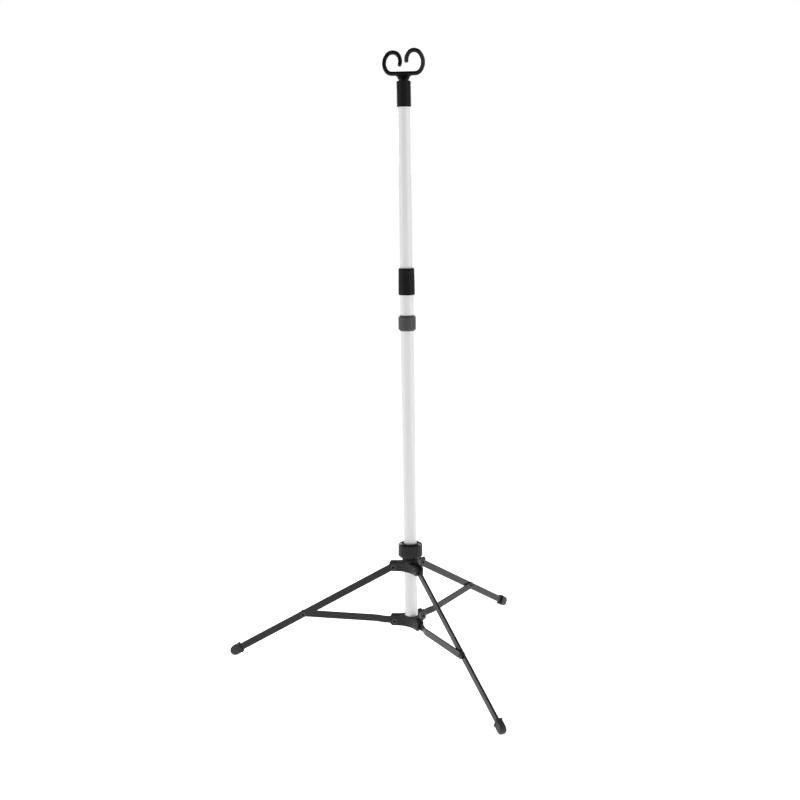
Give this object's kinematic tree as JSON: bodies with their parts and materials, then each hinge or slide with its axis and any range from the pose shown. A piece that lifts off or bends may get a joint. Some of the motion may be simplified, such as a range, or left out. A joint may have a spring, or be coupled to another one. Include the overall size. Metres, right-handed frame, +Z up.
{
  "type": "portable drip stand",
  "caption": "Portable folding drip stand: a telescopic pole on hinged legs with side braces and a sliding hub, with a double curled hook on top.",
  "frame": {"origin": "the point on the floor under the pole's axis", "axes": "+Z up along the pole; leg 1 points to -X, leg 2 to 300 degrees and leg 3 to 60 degrees, counted from +X about +Z"},
  "size_m": [0.6172, 0.7128, 1.2952],
  "materials": {
    "white_tube": "satin anodised",
    "black_plastic": "fine grained",
    "gloss_black": "smooth",
    "grey_plastic": "satin",
    "nylon": "smooth",
    "black_steel": "semi-gloss black",
    "rivet_steel": "blackened",
    "rubber": "matt",
    "zinc_steel": "zinc plated"
  },
  "bodies": {
    "base": {"outer_tube": "white_tube", "lower_hub": "black_plastic", "lower_hub_rivets": "rivet_steel", "tube_plug": "nylon", "base_screw": "zinc_steel", "pole_ring": "grey_plastic", "collet_body": "nylon"},
    "slider": {"upper_hub": "black_plastic", "upper_hub_rivets": "rivet_steel"},
    "clamp": {"clamp_ring": "nylon"},
    "nut": {"lock_nut": "black_plastic"},
    "mast_guide": {"guide_plug": "nylon"},
    "mast": {"inner_tube": "white_tube", "top_sleeve": "gloss_black", "hook": "gloss_black"},
    "collar": {"twist_collar": "gloss_black"},
    "leg_body_1": {"leg_1": "black_steel", "foot_1": "rubber", "knee_rivet_1": "rivet_steel"},
    "brace_body_1": {"brace_1": "black_steel", "knee_cap_1": "rivet_steel"},
    "leg_body_2": {"leg_2": "black_steel", "foot_2": "rubber", "knee_rivet_2": "rivet_steel"},
    "brace_body_2": {"brace_2": "black_steel", "knee_cap_2": "rivet_steel"},
    "leg_body_3": {"leg_3": "black_steel", "foot_3": "rubber", "knee_rivet_3": "rivet_steel"},
    "brace_body_3": {"brace_3": "black_steel", "knee_cap_3": "rivet_steel"}
  },
  "joints": [
    {"name": "hub_slide", "type": "slide", "parent": "base", "child": "slider", "axis": [0, 0, 1], "range_m": [0, 0.31286]},
    {"name": "nut_lift", "type": "slide", "parent": "slider", "child": "clamp", "axis": [0, 0, 1], "range_m": [0, 0.0025]},
    {"name": "nut_turn", "type": "hinge", "parent": "clamp", "child": "nut", "pos_m": [0, 0, 0.25], "axis": [0, 0, 1], "range_deg": [0, 360]},
    {"name": "mast_slide", "type": "slide", "parent": "base", "child": "mast_guide", "axis": [0, 0, 1], "range_m": [-0.322, 0.3]},
    {"name": "mast_turn", "type": "hinge", "parent": "mast_guide", "child": "mast", "pos_m": [0, 0, 1], "axis": [0, 0, 1], "continuous": true},
    {"name": "collar_turn", "type": "hinge", "parent": "base", "child": "collar", "pos_m": [0, 0, 0.83], "axis": [0, 0, 1], "range_deg": [0, 120]},
    {"name": "leg_1_pivot", "type": "hinge", "parent": "slider", "child": "leg_body_1", "pos_m": [-0.0365, 0, 0.2125], "axis": [0, 1, 0], "range_deg": [-57.4, 0]},
    {"name": "brace_1_pivot", "type": "hinge", "parent": "base", "child": "brace_body_1", "pos_m": [-0.036, 0, 0.0885], "axis": [0, 1, 0], "range_deg": [0, 83.48]},
    {"name": "leg_2_pivot", "type": "hinge", "parent": "slider", "child": "leg_body_2", "pos_m": [0.01825, -0.03161, 0.2125], "axis": [-0.866, -0.5, 0], "range_deg": [-57.4, 0]},
    {"name": "brace_2_pivot", "type": "hinge", "parent": "base", "child": "brace_body_2", "pos_m": [0.018, -0.03118, 0.0885], "axis": [-0.866, -0.5, 0], "range_deg": [0, 83.48]},
    {"name": "leg_3_pivot", "type": "hinge", "parent": "slider", "child": "leg_body_3", "pos_m": [0.01825, 0.03161, 0.2125], "axis": [0.866, -0.5, 0], "range_deg": [-57.4, 0]},
    {"name": "brace_3_pivot", "type": "hinge", "parent": "base", "child": "brace_body_3", "pos_m": [0.018, 0.03118, 0.0885], "axis": [0.866, -0.5, 0], "range_deg": [0, 83.48]}
  ],
  "couplings": [
    {"joint": "nut_lift", "follows": "nut_turn", "m_per_rad": 0.00039789},
    {"joint": "leg_1_pivot", "follows": "hub_slide", "rad_per_m": -3.1992},
    {"joint": "brace_1_pivot", "follows": "hub_slide", "rad_per_m": 4.6545},
    {"joint": "leg_2_pivot", "follows": "hub_slide", "rad_per_m": -3.1992},
    {"joint": "brace_2_pivot", "follows": "hub_slide", "rad_per_m": 4.6545},
    {"joint": "leg_3_pivot", "follows": "hub_slide", "rad_per_m": -3.1992},
    {"joint": "brace_3_pivot", "follows": "hub_slide", "rad_per_m": 4.6545}
  ]
}
